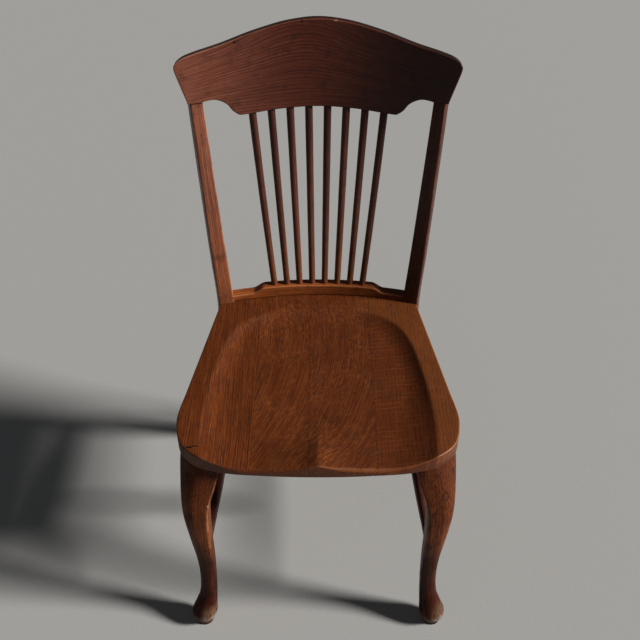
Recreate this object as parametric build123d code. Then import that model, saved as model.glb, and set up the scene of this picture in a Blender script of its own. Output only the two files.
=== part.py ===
from build123d import *
from math import cos, radians, sin, sqrt
import os

# Side chair in millimetres. Origin on the floor under the middle of the chair,
# +Z up, +X to the sitter's left, the front of the chair towards -Y.

# ---- driving dimensions -------------------------------------------------------------------
SEAT_THICKNESS = 28.0
SEAT_HEIGHT_MID = 415.3  # top plane of the seat above the origin
SEAT_TILT = 1.08  # degrees, the seat falls towards the back
SEAT_FRONT_Y = -251.5
SEAT_REAR_Y = 186.0
SEAT_HALF_WIDTH = 223.5  # widest, near the front
SEAT_WIDEST_Y = -166.0
SEAT_REAR_HALF_WIDTH = 180.5  # at the fronts of the rear posts
BOARD_JOINTS = [-105.0, -15.0, 91.0]  # glue lines between the seat boards

POST_YAW_SEAT = 16.0  # degrees, the posts turn to face the middle of the chair
POST_YAW_CREST = 24.0
POST_TENON = (12.0, 9.0, 30.0)  # width, depth, length inside the crest rail

CREST_RADIUS = 520.0  # plan curve of the front face
CREST_THICKNESS = 19.0
CREST_RECLINE = 9.7  # degrees back from upright
CREST_FRONT_Y = 234.0  # front face in the middle, at CREST_FOOT_Z
CREST_FOOT_Z = 750.0
CREST_PEAK = 151.5  # top of the board in the middle, measured up its lean from CREST_FOOT_Z

RAIL_RADIUS = 644.0  # plan curve of the front face
RAIL_THICKNESS = 20.0
RAIL_FRONT_Y = 163.0  # front face in the middle
RAIL_HALF_LENGTH = 163.0  # before its ends are fitted to the posts
RAIL_END_HEIGHT = 13.0
RAIL_RAISED_HEIGHT = 23.0

SPINDLE_COUNT = 8
SPINDLE_PITCH_LOW = 23.1
SPINDLE_PITCH_HIGH = 31.5
SPINDLE_RADIUS_LOW = 5.7
SPINDLE_RADIUS_HIGH = 6.6
SPINDLE_BOW = 6.0  # how far the middle stands forward of the straight line
SPINDLE_SUNK_LOW = 2.0  # shoulder below the top of the rail
SPINDLE_SUNK_HIGH = 3.0  # shoulder above the crest rail's lower edge
SPINDLE_TENON_RADIUS = 3.8
SPINDLE_TENON_LENGTH = 12.0

STRETCHER_TENON_RADIUS = 5.5
STRETCHER_TENON_LENGTH = 6.0
STRETCHER_SHOULDER = 9.0  # side and rear bars start this far from the middle of a leg or post
CROSS_TENON_RADIUS = 5.0
CROSS_TENON_LENGTH = 3.0
CROSS_SHOULDER = 7.0  # the cross bar starts this far from the middle of a side bar
LEG_TENON_RADIUS = 12.5
LEG_TENON_LENGTH = 17.0
LEG_TENON_AT = (184.0, -205.0)

SCREW_SHANK_RADIUS = 2.2
SCREW_HEAD_RADIUS = 4.5
SCREW_HEAD_HEIGHT = 3.0
RAIL_SCREW_REACH = 12.0  # into the spindle rail
POST_SCREW_SHANK_RADIUS = 2.8
POST_SCREW_Z = 399.0
POST_SCREW_BEHIND = 13.0  # head, behind the middle of the post
POST_SCREW_AHEAD = 55.0  # tip, ahead of the middle of the post
CREST_PIN_RADIUS = 1.2
CREST_PIN_BEHIND = 8.0
CREST_PIN_AHEAD = 6.0
CREST_PIN_UP = 28.0  # above the foot of the tenon


# ---- helpers ------------------------------------------------------------------------------
def mirrored(solid):
    return mirror(solid, about=Plane.YZ)


def smooth_at(table, height):
    """Row of a station table at any height, by a cubic curve through the neighbouring rows."""
    last = len(table) - 1
    k = max(i for i in range(last) if table[i][0] <= height or i == 0)
    before, low, high, after = (table[min(max(i, 0), last)] for i in (k - 1, k, k + 1, k + 2))
    span = high[0] - low[0]
    t = (height - low[0]) / span
    row = []
    for b, p, q, a in zip(before[1:], low[1:], high[1:], after[1:]):
        slope_low = (q - b) / (high[0] - before[0]) * span
        slope_high = (a - p) / (after[0] - low[0]) * span
        row.append(
            p * (2 * t**3 - 3 * t**2 + 1) + slope_low * (t**3 - 2 * t**2 + t)
            + q * (3 * t**2 - 2 * t**3) + slope_high * (t**3 - t**2)
        )
    return row


def even_heights(low, high, step):
    count = round((high - low) / step)
    return [low + (high - low) * i / count for i in range(count + 1)]


def rounded_section(width, depth, front_outer_radius, other_radius):
    """Rectangle whose front outer corner (+X, -Y) has its own radius."""
    section = Rectangle(width, depth)
    front_outer = section.vertices().sort_by_distance((width, -depth, 0))[0]
    section = fillet(front_outer, front_outer_radius)
    corner_distance = sqrt(width**2 + depth**2) / 2
    sharp = [v for v in section.vertices() if abs(sqrt(v.X**2 + v.Y**2) - corner_distance) < 0.01]
    return fillet(sharp, other_radius)


def between(start, end, solid):
    """Place a solid built up the +Z axis so that it runs from start to end."""
    start, end = Vector(*start), Vector(*end)
    return Plane(origin=start, z_dir=end - start).location * solid


def turned(outline):
    """Solid of revolution about Z from (radius, height) points joined by a smooth curve."""
    with BuildSketch(Plane.XZ) as profile:
        with BuildLine():
            Spline(*outline)
            Polyline(outline[-1], (0, outline[-1][1]), (0, outline[0][1]), outline[0])
        make_face()
    return revolve(profile.sketch, Axis.Z)


def round_stick(start, end, outline, tenon_radius, tenon_length):
    """Turned bar from start to end with a round tenon beyond each end."""
    length = (Vector(*end) - Vector(*start)).length
    body = turned([(r, t * length) for t, r in outline])
    tenon = Pos(0, 0, -tenon_length) * Cylinder(
        tenon_radius, length + 2 * tenon_length, align=(Align.CENTER, Align.CENTER, Align.MIN)
    )
    return between(start, end, body + tenon)


def screw(tip, head, shank=SCREW_SHANK_RADIUS):
    """Countersunk wood screw from its head's face to its tip."""
    length = (Vector(*tip) - Vector(*head)).length
    cone = Cone(SCREW_HEAD_RADIUS, shank, SCREW_HEAD_HEIGHT, align=(Align.CENTER, Align.CENTER, Align.MIN))
    rod = Cylinder(shank, length, align=(Align.CENTER, Align.CENTER, Align.MIN))
    return between(head, tip, cone + rod)


# ---- rear posts ---------------------------------------------------------------------------
# Stations up one post: height, centre half-width, centre depth, width, thickness, yaw.
POST_STATIONS = [
    (0.0, 178.0, 190.5, 25.0, 24.0, 12.0),
    (90.0, 175.5, 173.0, 26.5, 26.0, 13.0),
    (180.0, 173.2, 158.5, 28.5, 28.0, 14.0),
    (270.0, 172.0, 152.5, 30.0, 29.5, 15.0),
    (350.0, 171.4, 150.3, 30.0, 28.5, POST_YAW_SEAT),
    (412.0, 171.7, 150.3, 28.3, 24.0, POST_YAW_SEAT),
    (500.0, 178.7, 161.0, 26.7, 22.5, 18.0),
    (600.0, 186.7, 177.5, 24.9, 21.5, 20.0),
    (700.0, 194.7, 196.0, 23.1, 20.5, 22.0),
    (800.0, 202.7, 217.5, 21.3, 19.5, POST_YAW_CREST),
]
POST_TOP = POST_STATIONS[-1][0]
POST_CORNER_RADIUS = 3.0


def post_section(height):
    half_width, depth_y, width, thickness, yaw = smooth_at(POST_STATIONS, height)
    section = RectangleRounded(width, thickness, POST_CORNER_RADIUS)
    return Pos(half_width, depth_y, height) * Rot(0, 0, -yaw) * section


post_stick = loft([post_section(z) for z in even_heights(0, POST_TOP, 50)])


def post_centre(height):
    half_width, depth_y = smooth_at(POST_STATIONS, height)[:2]
    return half_width, depth_y, height


# ---- crest rail ---------------------------------------------------------------------------
# Drawn in its own leaning frame: x across, y through the thickness, z up the lean.
crest_frame = Location((0, CREST_FRONT_Y, CREST_FOOT_Z), (-CREST_RECLINE, 0, 0))
CREST_CORNER = (227.5, 89.0)
CREST_EDGE = (225.0, 72.0)
CREST_POST_OUTER = (211.0, 26.5)
CREST_POST_INNER = (185.0, 27.0)
CREST_TIP = (128.0, -1.0)
CREST_BOTTOM_MID = 9.0


def crest_outline():
    """Half outline from the middle of the top round to the middle of the bottom, then its mirror."""
    with BuildLine() as half:
        Spline(
            (0, CREST_PEAK), (45, CREST_PEAK - 4.5), (100, CREST_PEAK - 18), (160, CREST_PEAK - 37),
            (210, CREST_PEAK - 50),
            tangents=((1, 0), (1, -0.32)),
        )
        Spline((210, CREST_PEAK - 50), CREST_CORNER, CREST_EDGE, tangents=((1, -0.32), (-0.28, -1)))
        Line(CREST_EDGE, CREST_POST_OUTER)
        Line(CREST_POST_OUTER, CREST_POST_INNER)
        Spline(
            CREST_POST_INNER, (168, 28), (150, 19), (139.5, 6), CREST_TIP,
            tangents=((-1, 0.1), (-1, -0.15)),
        )
        Spline(CREST_TIP, (60, CREST_BOTTOM_MID - 3), (0, CREST_BOTTOM_MID), tangents=((-1, 0.05), (-1, 0)))
        Line((0, CREST_BOTTOM_MID), (0, CREST_PEAK))
    right = make_face(half.line)
    return right + mirror(right, about=Plane.YZ)


def crest_slab(front, back):
    """Curved slab between two plan arcs, front and back measured from the front face."""
    centre = Pos(0, -CREST_RADIUS, -60)
    ring = Circle(CREST_RADIUS + back) - Circle(CREST_RADIUS + front)
    return centre * extrude(ring, 300)


crest_plate = extrude(Plane.XZ * crest_outline(), 130, both=True)
crest_blank = crest_frame * (crest_plate & crest_slab(0, CREST_THICKNESS))
crest_fat = crest_frame * (crest_plate & crest_slab(-30, CREST_THICKNESS + 30))

# ---- seat ---------------------------------------------------------------------------------
seat_frame = Location((0, 0, SEAT_HEIGHT_MID), (-SEAT_TILT, 0, 0))


def seat_outline():
    """Plan of the whole seat; the rear corners run on under the posts, which are cut out later."""
    with BuildLine() as half:
        Spline(
            (0, SEAT_FRONT_Y), (80, SEAT_FRONT_Y + 2.5), (150, SEAT_FRONT_Y + 9.5),
            (SEAT_HALF_WIDTH - 38, SEAT_FRONT_Y + 20), (SEAT_HALF_WIDTH - 13, SEAT_FRONT_Y + 42),
            (SEAT_HALF_WIDTH, SEAT_WIDEST_Y), (SEAT_HALF_WIDTH - 7, SEAT_WIDEST_Y + 72),
            tangents=((1, 0), (-0.155, 1)),
        )
        Line((SEAT_HALF_WIDTH - 7, SEAT_WIDEST_Y + 72), (SEAT_REAR_HALF_WIDTH, 134.0))
        Line((SEAT_REAR_HALF_WIDTH, 134.0), (171.0, 151.5))
        Line((171.0, 151.5), (162.0, 166.0))
        Line((162.0, 166.0), (150.0, 168.0))
        Spline((150.0, 168.0), (80, SEAT_REAR_Y - 3.0), (0, SEAT_REAR_Y), tangents=((-1, 0.15), (-1, 0)))
        Line((0, SEAT_REAR_Y), (0, SEAT_FRONT_Y))
    right = make_face(half.line)
    return right + mirror(right, about=Plane.YZ)


# Carved saddle: cross-sections of what is removed, from the back of the dish to the front edge.
# y, half-width of the dish, depth in each hollow, depth on the centre line
DISH_STATIONS = [
    (112.0, 135.0, 3.0, 3.0),
    (60.0, 158.0, 9.5, 9.5),
    (-60.0, 178.0, 11.5, 11.0),
    (-170.0, 190.0, 13.0, 7.0),
    (-262.0, 175.0, 17.0, 0.6),
]


def dish_section(station):
    y, half_width, hollow, middle = station
    with BuildLine() as edge:
        Spline(
            (-half_width, 0), (-half_width * 0.55, -hollow), (0, -middle),
            (half_width * 0.55, -hollow), (half_width, 0),
        )
        Polyline((half_width, 0), (half_width, 15), (-half_width, 15), (-half_width, 0))
    return Plane(origin=(0, y, 0), x_dir=(1, 0, 0), z_dir=(0, -1, 0)) * make_face(edge.line)


seat_slab = extrude(seat_outline(), -SEAT_THICKNESS)
dish = loft([dish_section(s) for s in DISH_STATIONS])
seat_blank = seat_frame * (seat_slab - dish)
seat_uncarved = seat_frame * seat_slab

# ---- spindle rail -------------------------------------------------------------------------
RAIL_FOOT_Z = SEAT_HEIGHT_MID - (RAIL_FRONT_Y + RAIL_THICKNESS / 2) * sin(radians(SEAT_TILT))


def rail_outline():
    """Front view of the rail: low ends, ogees and a raised middle."""
    with BuildLine() as half:
        Line((0, -6), (0, RAIL_RAISED_HEIGHT))
        Line((0, RAIL_RAISED_HEIGHT), (98, RAIL_RAISED_HEIGHT))
        Spline(
            (98, RAIL_RAISED_HEIGHT), (107, RAIL_RAISED_HEIGHT - 3.5), (114, RAIL_END_HEIGHT + 1.5),
            (122, RAIL_END_HEIGHT),
            tangents=((1, 0), (1, 0)),
        )
        Line((122, RAIL_END_HEIGHT), (RAIL_HALF_LENGTH, RAIL_END_HEIGHT))
        Polyline((RAIL_HALF_LENGTH, RAIL_END_HEIGHT), (RAIL_HALF_LENGTH, -6), (0, -6))
    right = make_face(half.line)
    return right + mirror(right, about=Plane.YZ)


rail_ring = Circle(RAIL_RADIUS + RAIL_THICKNESS) - Circle(RAIL_RADIUS)
rail_curve = Pos(0, RAIL_FRONT_Y - RAIL_RADIUS, RAIL_FOOT_Z - 20) * extrude(rail_ring, 80)
rail_plate = Pos(0, RAIL_FRONT_Y, RAIL_FOOT_Z) * extrude(Plane.XZ * rail_outline(), 60, both=True)
rail_blank = (rail_plate & rail_curve) - seat_uncarved
rail_blank = rail_blank - post_stick - mirrored(post_stick)
rail_blank = rail_blank.solids().sort_by(SortBy.VOLUME)[-1]

# ---- spindles -----------------------------------------------------------------------------


def crest_centre(x, up):
    """Middle of the crest rail's thickness at a half-width and a distance up its lean."""
    radius = CREST_RADIUS + CREST_THICKNESS / 2
    y = sqrt(radius**2 - x**2) - CREST_RADIUS
    lean = radians(CREST_RECLINE)
    return x, CREST_FRONT_Y + y * cos(lean) + up * sin(lean), CREST_FOOT_Z - y * sin(lean) + up * cos(lean)


def rail_centre(x, height):
    radius = RAIL_RADIUS + RAIL_THICKNESS / 2
    return x, RAIL_FRONT_Y - RAIL_RADIUS + sqrt(radius**2 - x**2), RAIL_FOOT_Z + height


def spindle(index):
    """Bent stick swelling from the rail to the crest, with tenons beyond both shoulders."""
    offset = index - (SPINDLE_COUNT - 1) / 2
    x_low, x_high = offset * SPINDLE_PITCH_LOW, offset * SPINDLE_PITCH_HIGH
    bottom_edge = CREST_BOTTOM_MID * (1 - abs(x_high) / CREST_TIP[0])
    low = Vector(*rail_centre(x_low, RAIL_RAISED_HEIGHT - SPINDLE_SUNK_LOW))
    high = Vector(*crest_centre(x_high, bottom_edge + SPINDLE_SUNK_HIGH))
    middle = (low + high) * 0.5 - Vector(0, SPINDLE_BOW, 0)
    path = ThreePointArc(low, middle, high)
    rings = []
    for t in (0, 0.25, 0.5, 0.75, 1):
        radius = SPINDLE_RADIUS_LOW + t * (SPINDLE_RADIUS_HIGH - SPINDLE_RADIUS_LOW)
        rings.append(Plane(origin=path @ t, z_dir=path % t) * Circle(radius))
    body = loft(rings)
    for end, sign in ((0, -1), (1, 1)):
        tip = path @ end + (path % end) * sign * SPINDLE_TENON_LENGTH
        rod = Cylinder(
            SPINDLE_TENON_RADIUS, SPINDLE_TENON_LENGTH + 4, align=(Align.CENTER, Align.CENTER, Align.MIN)
        )
        body += between(tip, path @ end, rod)
    return body


spindle_blanks = [spindle(i) for i in range(SPINDLE_COUNT)]

# ---- front legs ---------------------------------------------------------------------------
# Stations up the left-hand cabriole leg: height, half-width, depth, width, thickness,
# front outer radius, other radius.
LEG_STATIONS = [
    (11.5, 203.5, -254.6, 34.0, 34.0, 16.5, 16.0),
    (26.0, 202.8, -254.0, 44.5, 44.5, 22.0, 21.5),
    (47.0, 198.3, -250.0, 38.0, 38.0, 18.5, 18.0),
    (71.0, 193.2, -244.5, 30.5, 30.5, 15.0, 14.0),
    (119.0, 189.9, -241.5, 27.8, 27.8, 13.5, 11.0),
    (175.0, 190.1, -241.0, 30.0, 30.0, 14.0, 9.0),
    (228.0, 192.8, -242.0, 34.6, 34.6, 16.0, 7.5),
    (281.0, 195.4, -239.5, 41.0, 41.0, 19.0, 6.0),
    (306.0, 195.5, -236.0, 44.0, 44.0, 21.0, 5.5),
    (330.0, 193.5, -229.0, 48.5, 48.5, 24.0, 5.0),
    (352.0, 190.0, -219.0, 56.0, 55.0, 32.0, 4.5),
    (374.0, 187.0, -208.5, 62.5, 60.0, 43.0, 4.0),
    (396.0, 184.5, -201.0, 65.0, 61.0, 51.0, 4.0),
]
LEG_SOLE_RADIUS = 15.5
LEG_SOLE_TAPER = 1.0
LEG_SOLE_HEIGHT = 12.5  # its top is inside the pad


def leg_section(height):
    half_width, depth_y, width, thickness, front_outer, other = smooth_at(LEG_STATIONS, height)
    return Pos(half_width, depth_y, height) * rounded_section(width, thickness, front_outer, other)


def front_leg():
    leg = loft([leg_section(z) for z in even_heights(LEG_STATIONS[0][0], LEG_STATIONS[-1][0], 16)])
    sole = Pos(LEG_STATIONS[0][1], LEG_STATIONS[0][2], 0) * Cone(
        LEG_SOLE_RADIUS - LEG_SOLE_TAPER, LEG_SOLE_RADIUS, LEG_SOLE_HEIGHT,
        align=(Align.CENTER, Align.CENTER, Align.MIN)
    )
    under_seat = seat_frame * (Pos(0, 0, -SEAT_THICKNESS + 100) * Box(800, 800, 200))
    leg = (leg + sole) - under_seat
    overlap = 20.0  # of the tenon's cylinder, down into the leg
    tenon = seat_frame * (Pos(*LEG_TENON_AT, -SEAT_THICKNESS - overlap) * Cylinder(
        LEG_TENON_RADIUS, LEG_TENON_LENGTH + overlap, align=(Align.CENTER, Align.CENTER, Align.MIN)
    ))
    return leg + tenon


leg_blank = front_leg()

# ---- stretchers ---------------------------------------------------------------------------
SIDE_FRONT = (190.0, -241.0, 181.0)  # inside the front leg
SIDE_REAR = (173.1, 158.0, 186.0)  # inside the rear post


def along(start, end, distance):
    start, end = Vector(*start), Vector(*end)
    return start + (end - start).normalized() * distance


side_start = along(SIDE_FRONT, SIDE_REAR, STRETCHER_SHOULDER)
side_end = along(SIDE_REAR, SIDE_FRONT, STRETCHER_SHOULDER)
BAR_OUTLINE = [(0, 7.6), (0.12, 8.6), (0.32, 11.6), (0.5, 12.6), (0.68, 11.6), (0.88, 8.6), (1, 7.6)]
side_blank = round_stick(
    side_start, side_end, BAR_OUTLINE, STRETCHER_TENON_RADIUS, STRETCHER_TENON_LENGTH
)

CROSS_T = 0.48  # where the cross stretcher meets the side stretchers, as a share of their length
cross_end = side_start + (side_end - side_start) * CROSS_T
cross_half = cross_end.X - CROSS_SHOULDER
CROSS_OUTLINE = [(0, 7.0), (0.14, 9.0), (0.34, 13.0), (0.5, 14.0), (0.66, 13.0), (0.86, 9.0), (1, 7.0)]
cross_blank = round_stick(
    (-cross_half, cross_end.Y, cross_end.Z), (cross_half, cross_end.Y, cross_end.Z),
    CROSS_OUTLINE, CROSS_TENON_RADIUS, CROSS_TENON_LENGTH
)

REAR_Z = 215.0
rear_at = post_centre(REAR_Z)
rear_half = rear_at[0] - STRETCHER_SHOULDER
REAR_OUTLINE = [(0, 6.8), (0.2, 7.8), (0.5, 8.8), (0.8, 7.8), (1, 6.8)]
rear_blank = round_stick(
    (-rear_half, rear_at[1], REAR_Z), (rear_half, rear_at[1], REAR_Z),
    REAR_OUTLINE, STRETCHER_TENON_RADIUS, STRETCHER_TENON_LENGTH
)

# ---- screws and pins ----------------------------------------------------------------------
rail_screws = []
for x in (-3 * SPINDLE_PITCH_LOW, 0.0, 3 * SPINDLE_PITCH_LOW):
    centre = rail_centre(x, 0)
    head = (centre[0], centre[1], RAIL_FOOT_Z - SEAT_THICKNESS - 0.3)
    tip = (centre[0], centre[1], RAIL_FOOT_Z + RAIL_SCREW_REACH)
    rail_screws.append(screw(tip, head))

backwards = Vector(sin(radians(POST_YAW_SEAT)), cos(radians(POST_YAW_SEAT)), 0)
post_middle = Vector(*post_centre(POST_SCREW_Z))
post_screw = screw(
    post_middle - backwards * POST_SCREW_AHEAD, post_middle + backwards * POST_SCREW_BEHIND,
    shank=POST_SCREW_SHANK_RADIUS
)
post_screws = [post_screw, mirrored(post_screw)]

# ---- posts with their crest tenons --------------------------------------------------------
TENON_FOOT_Z = 766.0  # inside the post, below the shoulder
TENON_FOOT_LENGTH = 14.0
tenon_base = Vector(*post_centre(TENON_FOOT_Z))
tenon_axis = (Vector(*post_centre(POST_TOP)) - tenon_base).normalized()
tenon_block = Box(
    POST_TENON[0], POST_TENON[1], POST_TENON[2] + TENON_FOOT_LENGTH,
    align=(Align.CENTER, Align.CENTER, Align.MIN)
)
tenon_plane = Plane(origin=tenon_base, x_dir=(cos(radians(POST_YAW_CREST)), -sin(radians(POST_YAW_CREST)), 0),
                    z_dir=tenon_axis)
post_tenon = tenon_plane.location * tenon_block

crest_pin_at = tenon_base + tenon_axis * CREST_PIN_UP
crest_normal = Vector(sin(radians(POST_YAW_CREST)), cos(radians(POST_YAW_CREST)), 0)
pin_back = crest_pin_at + crest_normal * CREST_PIN_BEHIND
pin_front = crest_pin_at - crest_normal * CREST_PIN_AHEAD
crest_pin = between(pin_front, pin_back, Cylinder(
    CREST_PIN_RADIUS, (pin_back - pin_front).length, align=(Align.CENTER, Align.CENTER, Align.MIN)
))
crest_pins = [crest_pin, mirrored(crest_pin)]

post_blank = (post_stick - crest_fat) + post_tenon
post_blank = post_blank.solids().sort_by(SortBy.VOLUME)[-1]

# ---- cut the joints -----------------------------------------------------------------------
side_bars = [side_blank, mirrored(side_blank)]
posts = []
for sign in (1, -1):
    post = post_blank if sign > 0 else mirrored(post_blank)
    post = post - side_bars[0 if sign > 0 else 1] - rear_blank
    post = post - post_screws[0 if sign > 0 else 1] - crest_pins[0 if sign > 0 else 1]
    posts.append(post.solids().sort_by(SortBy.VOLUME)[-1])

legs = [leg_blank - side_bars[0], mirrored(leg_blank) - side_bars[1]]
side_bars = [bar - cross_blank for bar in side_bars]

crest_rail = crest_blank - post_tenon - mirrored(post_tenon)
for piece in spindle_blanks + crest_pins:
    crest_rail = crest_rail - piece

spindle_rail = rail_blank
for piece in spindle_blanks + rail_screws:
    spindle_rail = spindle_rail - piece

seat = seat_blank
for piece in posts + [leg_blank, mirrored(leg_blank)] + rail_screws + post_screws:
    seat = seat - piece

edges = [-400.0] + BOARD_JOINTS + [400.0]
board_names = [
    "seat_board_right_outer", "seat_board_right_inner", "seat_board_left_inner", "seat_board_left_outer",
]

# ---- nodes --------------------------------------------------------------------------------
nodes = {}
for name, low, high in zip(board_names, edges, edges[1:]):
    slab = Pos((low + high) / 2, 0, SEAT_HEIGHT_MID) * Box(high - low, 900, 200)
    nodes[name] = seat & slab
nodes["front_leg_left"], nodes["front_leg_right"] = legs
nodes["rear_post_left"], nodes["rear_post_right"] = posts
nodes["side_stretcher_left"], nodes["side_stretcher_right"] = side_bars
nodes["cross_stretcher"] = cross_blank
nodes["rear_stretcher"] = rear_blank
nodes["crest_rail"] = crest_rail
nodes["spindle_rail"] = spindle_rail
for i, blank in enumerate(spindle_blanks):
    nodes[f"spindle_{i + 1}"] = blank
nodes["rail_screws"] = Compound(children=rail_screws)
nodes["post_screws"] = Compound(children=post_screws)
nodes["crest_pins"] = Compound(children=crest_pins)

os.makedirs("parts", exist_ok=True)
for name, shape in nodes.items():
    export_step(shape, f"parts/{name}.step")
    box = shape.bounding_box()
    print(f"{name:26s} solids {len(shape.solids())}  x {box.min.X:8.1f} {box.max.X:8.1f}"
          f"  y {box.min.Y:8.1f} {box.max.Y:8.1f}  z {box.min.Z:8.1f} {box.max.Z:8.1f}")
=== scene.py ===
import math

import bmesh
import bpy
import numpy as np
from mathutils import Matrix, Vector


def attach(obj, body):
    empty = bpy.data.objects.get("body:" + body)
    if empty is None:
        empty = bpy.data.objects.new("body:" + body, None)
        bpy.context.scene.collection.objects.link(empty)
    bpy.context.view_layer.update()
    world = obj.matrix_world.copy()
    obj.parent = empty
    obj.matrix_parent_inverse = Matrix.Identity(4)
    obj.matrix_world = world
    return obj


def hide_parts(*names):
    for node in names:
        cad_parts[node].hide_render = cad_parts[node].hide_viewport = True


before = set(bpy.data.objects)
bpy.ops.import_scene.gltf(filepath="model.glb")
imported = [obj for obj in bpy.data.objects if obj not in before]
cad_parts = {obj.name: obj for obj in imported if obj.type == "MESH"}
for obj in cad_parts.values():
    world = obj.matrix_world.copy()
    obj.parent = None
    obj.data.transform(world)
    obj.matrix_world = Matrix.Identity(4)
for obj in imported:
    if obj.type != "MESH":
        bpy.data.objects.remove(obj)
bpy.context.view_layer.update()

# ---- dimensions, the same as the frame's ----------------------------------------------------
SEAT_THICKNESS = 0.028
SEAT_HEIGHT_MID = 0.4153
SEAT_TILT = math.radians(1.08)
SEAT_FRONT_Y = -0.2515
SEAT_REAR_Y = 0.186
SEAT_HALF_WIDTH = 0.2235
SEAT_WIDEST_Y = -0.166
SEAT_CENTRE = (0.0, -0.04)
BOARD_JOINTS = (-0.105, -0.015, 0.091)
POST_NOTCH_Y = 0.1352  # behind this the seat's outline fits round the posts
POST_NOTCH_X = 0.150
DISH_DEPTH = 0.0115
DISH_DEEPER_AHEAD = 0.0035
DISH_SHALLOWER_BEHIND = 0.0015
DISH_WALL = 0.036  # from the rim to the hollow's full depth
DISH_WALL_WIDER_AHEAD = 0.044
DISH_RIM_EASE = 0.0015
DISH_FRONT_Y = -0.330
POMMEL_HALF_WIDTH = 0.100
POMMEL_CREST_HALF_WIDTH = 0.034
POMMEL_CREST_RADIUS = 0.0025
CRISP = 0.0004  # edge radius where two pieces meet

CREST_RADIUS = 0.520
CREST_THICKNESS = 0.019
CREST_RECLINE = math.radians(9.7)
CREST_FRONT_Y = 0.234
CREST_FOOT_Z = 0.750
CREST_PEAK = 0.1515
CREST_CENTRE = (0.0, 0.075)
CREST_UNDERSIDE = 0.0268  # where the posts end, up the lean
CREST_POST_X = 0.198
CREST_TIP_X = 0.128  # the scallop's lowest point
CREST_ARCH = 0.009  # how far the underside rises in the middle

RAIL_RADIUS = 0.644
RAIL_THICKNESS = 0.020
RAIL_FRONT_Y = 0.163
RAIL_HALF_LENGTH = 0.1595
RAIL_END_HEIGHT = 0.013
RAIL_RAISED_HEIGHT = 0.023
RAIL_STEP = (0.098, 0.121)  # how far from the middle the rail starts to drop, and is low
RAIL_FOOT_Z = SEAT_HEIGHT_MID - (RAIL_FRONT_Y + RAIL_THICKNESS / 2) * math.sin(SEAT_TILT)

SPINDLE_COUNT = 8
SPINDLE_PITCH_LOW = 0.0231
SPINDLE_PITCH_HIGH = 0.0315
SPINDLE_RADIUS_LOW = 0.0057
SPINDLE_RADIUS_HIGH = 0.0066
SPINDLE_BOW = 0.006
SPINDLE_SUNK_LOW = 0.002
SPINDLE_SUNK_HIGH = 0.003

# Height, centre half-width, centre depth, width, thickness, yaw in degrees.
POST_STATIONS = [
    (0.000, 0.1780, 0.1905, 0.0250, 0.0240, 12.0),
    (0.090, 0.1755, 0.1730, 0.0265, 0.0260, 13.0),
    (0.180, 0.1732, 0.1585, 0.0285, 0.0280, 14.0),
    (0.270, 0.1720, 0.1525, 0.0300, 0.0295, 15.0),
    (0.350, 0.1714, 0.1503, 0.0300, 0.0285, 16.0),
    (0.412, 0.1717, 0.1503, 0.0283, 0.0240, 16.0),
    (0.500, 0.1787, 0.1610, 0.0267, 0.0225, 18.0),
    (0.600, 0.1867, 0.1775, 0.0249, 0.0215, 20.0),
    (0.700, 0.1947, 0.1960, 0.0231, 0.0205, 22.0),
    (0.800, 0.2027, 0.2175, 0.0213, 0.0195, 24.0),
]
POST_CORNER_RADIUS = 0.003
POST_FOOT_BEVEL = 0.0012

# Height, centre half-width, centre depth, width, thickness, front outer radius, other radius.
LEG_STATIONS = [
    (0.0115, 0.2035, -0.2546, 0.0340, 0.0340, 0.0165, 0.0160),
    (0.0260, 0.2028, -0.2540, 0.0445, 0.0445, 0.0220, 0.0215),
    (0.0470, 0.1983, -0.2500, 0.0380, 0.0380, 0.0185, 0.0180),
    (0.071, 0.1932, -0.2445, 0.0305, 0.0305, 0.0150, 0.0140),
    (0.119, 0.1899, -0.2415, 0.0278, 0.0278, 0.0135, 0.0110),
    (0.175, 0.1901, -0.2410, 0.0300, 0.0300, 0.0140, 0.0090),
    (0.228, 0.1928, -0.2420, 0.0346, 0.0346, 0.0160, 0.0075),
    (0.281, 0.1954, -0.2395, 0.0410, 0.0410, 0.0190, 0.0060),
    (0.306, 0.1955, -0.2360, 0.0440, 0.0440, 0.0210, 0.0055),
    (0.330, 0.1935, -0.2290, 0.0485, 0.0485, 0.0240, 0.0050),
    (0.352, 0.1900, -0.2190, 0.0560, 0.0550, 0.0320, 0.0045),
    (0.374, 0.1870, -0.2085, 0.0625, 0.0600, 0.0430, 0.0040),
    (0.396, 0.1845, -0.2010, 0.0650, 0.0610, 0.0510, 0.0040),
]
# Height and radius of the round sole under the pad foot.
SOLE = [
    (0.0, 0.0137), (0.0006, 0.0145), (0.0050, 0.0152),
    (0.0090, 0.0153), (0.0106, 0.0146), (0.0115, 0.0144),
]

# Stretchers. An outline is shares of the length with the radius there, in millimetres.
SIDE_START = Vector((0.18962, -0.23201, 0.18111))
SIDE_END = Vector((0.17348, 0.14901, 0.18589))
SIDE_OUTLINE = [
    (0, 7.6), (0.12, 8.6), (0.32, 11.6), (0.5, 12.6), (0.68, 11.6), (0.88, 8.6), (1, 7.6),
]
CROSS_SHARE = 0.48
CROSS_SHOULDER = 0.007
CROSS_OUTLINE = [
    (0, 7.0), (0.14, 9.0), (0.34, 13.0), (0.5, 14.0), (0.66, 13.0), (0.86, 9.0), (1, 7.0),
]
REAR_HEIGHT = 0.215
REAR_SHOULDER = 0.009
REAR_OUTLINE = [(0, 6.8), (0.2, 7.8), (0.5, 8.8), (0.8, 7.8), (1, 6.8)]


# ---- curves -----------------------------------------------------------------------------------
def cubic(start, start_slope, end, end_slope, t):
    """Point at share t of a curve between two ends, from its slopes there over the whole span."""
    return (
        start * (2 * t**3 - 3 * t**2 + 1) + start_slope * (t**3 - 2 * t**2 + t)
        + end * (3 * t**2 - 2 * t**3) + end_slope * (t**3 - t**2)
    )


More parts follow.
